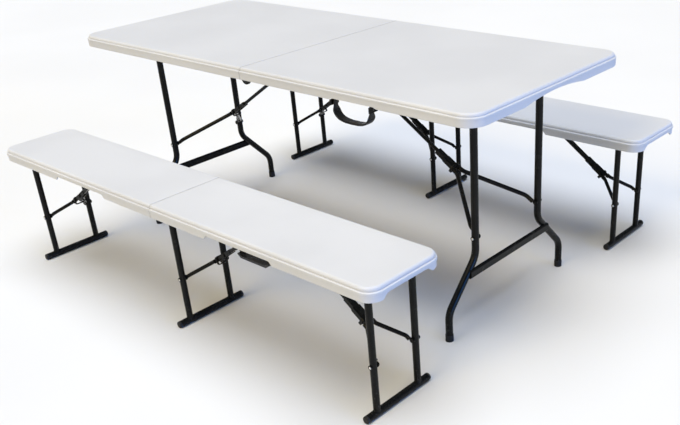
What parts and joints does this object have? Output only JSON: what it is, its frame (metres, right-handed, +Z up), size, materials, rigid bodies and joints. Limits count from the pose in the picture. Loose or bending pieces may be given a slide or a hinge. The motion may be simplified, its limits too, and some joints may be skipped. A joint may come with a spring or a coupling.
{
  "type": "cafeteria folding table with benches",
  "caption": "Rectangular folding table with a moulded top that folds in half, between folding benches of the same make; steel leg frames with link braces and lock rings.",
  "frame": {"origin": "on the floor under the middle of the table", "axes": "+X along the table, +Y across it from the near bench to the far one, +Z up"},
  "size_m": [1.832, 1.515, 0.74],
  "materials": {
    "moulded_top": "fine pebbled blow-moulded polyethylene, light granite grey",
    "black_steel": "near-black powder coat, satin",
    "rubber_foot": "matt black rubber",
    "bar_cap": "matt black moulded plug",
    "lock_ring": "black coated steel collar",
    "hinge_pin": "zinc plated",
    "carry_handle": "black moulded plastic, satin"
  },
  "bodies": {
    "table_left_half": {"table_left_top": "moulded_top", "table_left_rails": "black_steel", "table_hinge_pins": "hinge_pin"},
    "table_right_half": {"table_right_top": "moulded_top", "table_right_rails": "black_steel"},
    "table_carry_handle": {"table_handle": "carry_handle"},
    "table_left_leg_frame": {"table_left_legs": "black_steel", "table_left_feet": "rubber_foot"},
    "table_left_link": {"table_left_link": "black_steel"},
    "table_left_brace": {"table_left_brace": "black_steel"},
    "table_left_ring": {"table_left_ring": "lock_ring"},
    "table_right_leg_frame": {"table_right_legs": "black_steel", "table_right_feet": "rubber_foot"},
    "table_right_link": {"table_right_link": "black_steel"},
    "table_right_brace": {"table_right_brace": "black_steel"},
    "table_right_ring": {"table_right_ring": "lock_ring"},
    "near_bench_left_half": {"near_bench_left_top": "moulded_top", "near_bench_left_rails": "black_steel", "near_bench_hinge_pins": "hinge_pin"},
    "near_bench_right_half": {"near_bench_right_top": "moulded_top", "near_bench_right_rails": "black_steel"},
    "near_bench_carry_handle": {"near_bench_handle": "carry_handle"},
    "near_bench_left_leg_frame": {"near_bench_left_legs": "black_steel", "near_bench_left_feet": "bar_cap"},
    "near_bench_left_link": {"near_bench_left_link": "black_steel"},
    "near_bench_left_brace": {"near_bench_left_brace": "black_steel"},
    "near_bench_left_ring": {"near_bench_left_ring": "lock_ring"},
    "near_bench_middle_leg_frame": {"near_bench_middle_legs": "black_steel", "near_bench_middle_feet": "bar_cap"},
    "near_bench_middle_link": {"near_bench_middle_link": "black_steel"},
    "near_bench_middle_brace": {"near_bench_middle_brace": "black_steel"},
    "near_bench_middle_ring": {"near_bench_middle_ring": "lock_ring"},
    "near_bench_right_leg_frame": {"near_bench_right_legs": "black_steel", "near_bench_right_feet": "bar_cap"},
    "near_bench_right_link": {"near_bench_right_link": "black_steel"},
    "near_bench_right_brace": {"near_bench_right_brace": "black_steel"},
    "near_bench_right_ring": {"near_bench_right_ring": "lock_ring"},
    "far_bench_left_half": {"far_bench_left_top": "moulded_top", "far_bench_left_rails": "black_steel", "far_bench_hinge_pins": "hinge_pin"},
    "far_bench_right_half": {"far_bench_right_top": "moulded_top", "far_bench_right_rails": "black_steel"},
    "far_bench_carry_handle": {"far_bench_handle": "carry_handle"},
    "far_bench_left_leg_frame": {"far_bench_left_legs": "black_steel", "far_bench_left_feet": "bar_cap"},
    "far_bench_left_link": {"far_bench_left_link": "black_steel"},
    "far_bench_left_brace": {"far_bench_left_brace": "black_steel"},
    "far_bench_left_ring": {"far_bench_left_ring": "lock_ring"},
    "far_bench_middle_leg_frame": {"far_bench_middle_legs": "black_steel", "far_bench_middle_feet": "bar_cap"},
    "far_bench_middle_link": {"far_bench_middle_link": "black_steel"},
    "far_bench_middle_brace": {"far_bench_middle_brace": "black_steel"},
    "far_bench_middle_ring": {"far_bench_middle_ring": "lock_ring"},
    "far_bench_right_leg_frame": {"far_bench_right_legs": "black_steel", "far_bench_right_feet": "bar_cap"},
    "far_bench_right_link": {"far_bench_right_link": "black_steel"},
    "far_bench_right_brace": {"far_bench_right_brace": "black_steel"},
    "far_bench_right_ring": {"far_bench_right_ring": "lock_ring"}
  },
  "joints": [
    {"name": "table_half_fold", "type": "hinge", "parent": "table_left_half", "child": "table_right_half", "pos_m": [0, 0, 0.703], "axis": [0, 1, 0], "range_deg": [0, 90]},
    {"name": "table_handle_swing", "type": "hinge", "parent": "table_right_half", "child": "table_carry_handle", "pos_m": [0.465, -0.35, 0.694], "axis": [-1, 0, 0], "range_deg": [-90, 80]},
    {"name": "table_left_leg_fold", "type": "hinge", "parent": "table_left_half", "child": "table_left_leg_frame", "pos_m": [-0.74, 0, 0.717], "axis": [0, -1, 0], "range_deg": [0, 90]},
    {"name": "table_left_link_turn", "type": "hinge", "parent": "table_left_half", "child": "table_left_link", "pos_m": [-0.05, 0, 0.721], "axis": [0, -1, 0], "range_deg": [-32.34, 0]},
    {"name": "table_left_brace_turn", "type": "hinge", "parent": "table_left_link", "child": "table_left_brace", "pos_m": [-0.50462, 0, 0.43325], "axis": [0, -1, 0], "range_deg": [0, 180.01]},
    {"name": "table_left_ring_slide", "type": "slide", "parent": "table_left_link", "child": "table_left_ring", "axis": [0.845, 0, 0.5348], "range_m": [0, 0.22501]},
    {"name": "table_right_leg_fold", "type": "hinge", "parent": "table_right_half", "child": "table_right_leg_frame", "pos_m": [0.74, 0, 0.717], "axis": [0, 1, 0], "range_deg": [0, 90]},
    {"name": "table_right_link_turn", "type": "hinge", "parent": "table_right_half", "child": "table_right_link", "pos_m": [0.05, 0, 0.721], "axis": [0, 1, 0], "range_deg": [-32.34, 0]},
    {"name": "table_right_brace_turn", "type": "hinge", "parent": "table_right_link", "child": "table_right_brace", "pos_m": [0.50462, 0, 0.43325], "axis": [0, 1, 0], "range_deg": [0, 180.01]},
    {"name": "table_right_ring_slide", "type": "slide", "parent": "table_right_link", "child": "table_right_ring", "axis": [-0.845, 0, 0.5348], "range_m": [0, 0.22501]},
    {"name": "near_bench_place", "type": "slide", "parent": "table_left_half", "child": "near_bench_left_half", "axis": [0, -1, 0], "range_m": [-0.15, 0.3]},
    {"name": "near_bench_half_fold", "type": "hinge", "parent": "near_bench_left_half", "child": "near_bench_right_half", "pos_m": [-0.016, -0.62, 0.379], "axis": [0, 1, 0], "range_deg": [0, 90]},
    {"name": "near_bench_handle_swing", "type": "hinge", "parent": "near_bench_right_half", "child": "near_bench_carry_handle", "pos_m": [0.44, -0.735, 0.386], "axis": [-1, 0, 0], "range_deg": [-75, 50]},
    {"name": "near_bench_left_leg_fold", "type": "hinge", "parent": "near_bench_left_half", "child": "near_bench_left_leg_frame", "pos_m": [-0.814, -0.62, 0.3985], "axis": [0, -1, 0], "range_deg": [0, 90]},
    {"name": "near_bench_left_link_turn", "type": "hinge", "parent": "near_bench_left_half", "child": "near_bench_left_link", "pos_m": [-0.459, -0.62, 0.401], "axis": [0, -1, 0], "range_deg": [-34.73, 0]},
    {"name": "near_bench_left_brace_turn", "type": "hinge", "parent": "near_bench_left_link", "child": "near_bench_left_brace", "pos_m": [-0.68284, -0.62, 0.24586], "axis": [0, -1, 0], "range_deg": [0, 180.01]},
    {"name": "near_bench_left_ring_slide", "type": "slide", "parent": "near_bench_left_link", "child": "near_bench_left_ring", "axis": [0.8219, 0, 0.5696], "range_m": [0, 0.22501]},
    {"name": "near_bench_middle_leg_fold", "type": "hinge", "parent": "near_bench_right_half", "child": "near_bench_middle_leg_frame", "pos_m": [0.006, -0.62, 0.3985], "axis": [0, -1, 0], "range_deg": [0, 90]},
    {"name": "near_bench_middle_link_turn", "type": "hinge", "parent": "near_bench_right_half", "child": "near_bench_middle_link", "pos_m": [0.361, -0.62, 0.401], "axis": [0, -1, 0], "range_deg": [-34.73, 0]},
    {"name": "near_bench_middle_brace_turn", "type": "hinge", "parent": "near_bench_middle_link", "child": "near_bench_middle_brace", "pos_m": [0.13716, -0.62, 0.24586], "axis": [0, -1, 0], "range_deg": [0, 180.01]},
    {"name": "near_bench_middle_ring_slide", "type": "slide", "parent": "near_bench_middle_link", "child": "near_bench_middle_ring", "axis": [0.8219, 0, 0.5696], "range_m": [0, 0.22501]},
    {"name": "near_bench_right_leg_fold", "type": "hinge", "parent": "near_bench_right_half", "child": "near_bench_right_leg_frame", "pos_m": [0.818, -0.62, 0.3985], "axis": [0, 1, 0], "range_deg": [0, 90]},
    {"name": "near_bench_right_link_turn", "type": "hinge", "parent": "near_bench_right_half", "child": "near_bench_right_link", "pos_m": [0.463, -0.62, 0.401], "axis": [0, 1, 0], "range_deg": [-34.73, 0]},
    {"name": "near_bench_right_brace_turn", "type": "hinge", "parent": "near_bench_right_link", "child": "near_bench_right_brace", "pos_m": [0.68684, -0.62, 0.24586], "axis": [0, 1, 0], "range_deg": [0, 180.01]},
    {"name": "near_bench_right_ring_slide", "type": "slide", "parent": "near_bench_right_link", "child": "near_bench_right_ring", "axis": [-0.8219, 0, 0.5696], "range_m": [0, 0.22501]},
    {"name": "far_bench_place", "type": "slide", "parent": "table_left_half", "child": "far_bench_left_half", "axis": [0, 1, 0], "range_m": [-0.15, 0.3]},
    {"name": "far_bench_half_fold", "type": "hinge", "parent": "far_bench_left_half", "child": "far_bench_right_half", "pos_m": [0.016, 0.62, 0.379], "axis": [0, -1, 0], "range_deg": [0, 90]},
    {"name": "far_bench_handle_swing", "type": "hinge", "parent": "far_bench_right_half", "child": "far_bench_carry_handle", "pos_m": [-0.44, 0.735, 0.386], "axis": [1, 0, 0], "range_deg": [-75, 50]},
    {"name": "far_bench_left_leg_fold", "type": "hinge", "parent": "far_bench_left_half", "child": "far_bench_left_leg_frame", "pos_m": [0.814, 0.62, 0.3985], "axis": [0, 1, 0], "range_deg": [0, 90]},
    {"name": "far_bench_left_link_turn", "type": "hinge", "parent": "far_bench_left_half", "child": "far_bench_left_link", "pos_m": [0.459, 0.62, 0.401], "axis": [0, 1, 0], "range_deg": [-34.73, 0]},
    {"name": "far_bench_left_brace_turn", "type": "hinge", "parent": "far_bench_left_link", "child": "far_bench_left_brace", "pos_m": [0.68284, 0.62, 0.24586], "axis": [0, 1, 0], "range_deg": [0, 180.01]},
    {"name": "far_bench_left_ring_slide", "type": "slide", "parent": "far_bench_left_link", "child": "far_bench_left_ring", "axis": [-0.8219, 0, 0.5696], "range_m": [0, 0.22501]},
    {"name": "far_bench_middle_leg_fold", "type": "hinge", "parent": "far_bench_right_half", "child": "far_bench_middle_leg_frame", "pos_m": [-0.006, 0.62, 0.3985], "axis": [0, 1, 0], "range_deg": [0, 90]},
    {"name": "far_bench_middle_link_turn", "type": "hinge", "parent": "far_bench_right_half", "child": "far_bench_middle_link", "pos_m": [-0.361, 0.62, 0.401], "axis": [0, 1, 0], "range_deg": [-34.73, 0]},
    {"name": "far_bench_middle_brace_turn", "type": "hinge", "parent": "far_bench_middle_link", "child": "far_bench_middle_brace", "pos_m": [-0.13716, 0.62, 0.24586], "axis": [0, 1, 0], "range_deg": [0, 180.01]},
    {"name": "far_bench_middle_ring_slide", "type": "slide", "parent": "far_bench_middle_link", "child": "far_bench_middle_ring", "axis": [-0.8219, 0, 0.5696], "range_m": [0, 0.22501]},
    {"name": "far_bench_right_leg_fold", "type": "hinge", "parent": "far_bench_right_half", "child": "far_bench_right_leg_frame", "pos_m": [-0.818, 0.62, 0.3985], "axis": [0, -1, 0], "range_deg": [0, 90]},
    {"name": "far_bench_right_link_turn", "type": "hinge", "parent": "far_bench_right_half", "child": "far_bench_right_link", "pos_m": [-0.463, 0.62, 0.401], "axis": [0, -1, 0], "range_deg": [-34.73, 0]},
    {"name": "far_bench_right_brace_turn", "type": "hinge", "parent": "far_bench_right_link", "child": "far_bench_right_brace", "pos_m": [-0.68684, 0.62, 0.24586], "axis": [0, -1, 0], "range_deg": [0, 180.01]},
    {"name": "far_bench_right_ring_slide", "type": "slide", "parent": "far_bench_right_link", "child": "far_bench_right_ring", "axis": [0.8219, 0, 0.5696], "range_m": [0, 0.22501]}
  ],
  "couplings": [
    {"joint": "table_left_link_turn", "follows": "table_left_leg_fold", "ratio": -0.35924},
    {"joint": "table_left_brace_turn", "follows": "table_left_leg_fold", "ratio": 2},
    {"joint": "table_left_ring_slide", "follows": "table_left_leg_fold", "m_per_rad": 0.14324},
    {"joint": "table_right_link_turn", "follows": "table_right_leg_fold", "ratio": -0.35924},
    {"joint": "table_right_brace_turn", "follows": "table_right_leg_fold", "ratio": 2},
    {"joint": "table_right_ring_slide", "follows": "table_right_leg_fold", "m_per_rad": 0.14324},
    {"joint": "near_bench_left_link_turn", "follows": "near_bench_left_leg_fold", "ratio": -0.38583},
    {"joint": "near_bench_left_brace_turn", "follows": "near_bench_left_leg_fold", "ratio": 2},
    {"joint": "near_bench_left_ring_slide", "follows": "near_bench_left_leg_fold", "m_per_rad": 0.14324},
    {"joint": "near_bench_middle_link_turn", "follows": "near_bench_middle_leg_fold", "ratio": -0.38583},
    {"joint": "near_bench_middle_brace_turn", "follows": "near_bench_middle_leg_fold", "ratio": 2},
    {"joint": "near_bench_middle_ring_slide", "follows": "near_bench_middle_leg_fold", "m_per_rad": 0.14324},
    {"joint": "near_bench_right_link_turn", "follows": "near_bench_right_leg_fold", "ratio": -0.38583},
    {"joint": "near_bench_right_brace_turn", "follows": "near_bench_right_leg_fold", "ratio": 2},
    {"joint": "near_bench_right_ring_slide", "follows": "near_bench_right_leg_fold", "m_per_rad": 0.14324},
    {"joint": "far_bench_left_link_turn", "follows": "far_bench_left_leg_fold", "ratio": -0.38583},
    {"joint": "far_bench_left_brace_turn", "follows": "far_bench_left_leg_fold", "ratio": 2},
    {"joint": "far_bench_left_ring_slide", "follows": "far_bench_left_leg_fold", "m_per_rad": 0.14324},
    {"joint": "far_bench_middle_link_turn", "follows": "far_bench_middle_leg_fold", "ratio": -0.38583},
    {"joint": "far_bench_middle_brace_turn", "follows": "far_bench_middle_leg_fold", "ratio": 2},
    {"joint": "far_bench_middle_ring_slide", "follows": "far_bench_middle_leg_fold", "m_per_rad": 0.14324},
    {"joint": "far_bench_right_link_turn", "follows": "far_bench_right_leg_fold", "ratio": -0.38583},
    {"joint": "far_bench_right_brace_turn", "follows": "far_bench_right_leg_fold", "ratio": 2},
    {"joint": "far_bench_right_ring_slide", "follows": "far_bench_right_leg_fold", "m_per_rad": 0.14324}
  ]
}
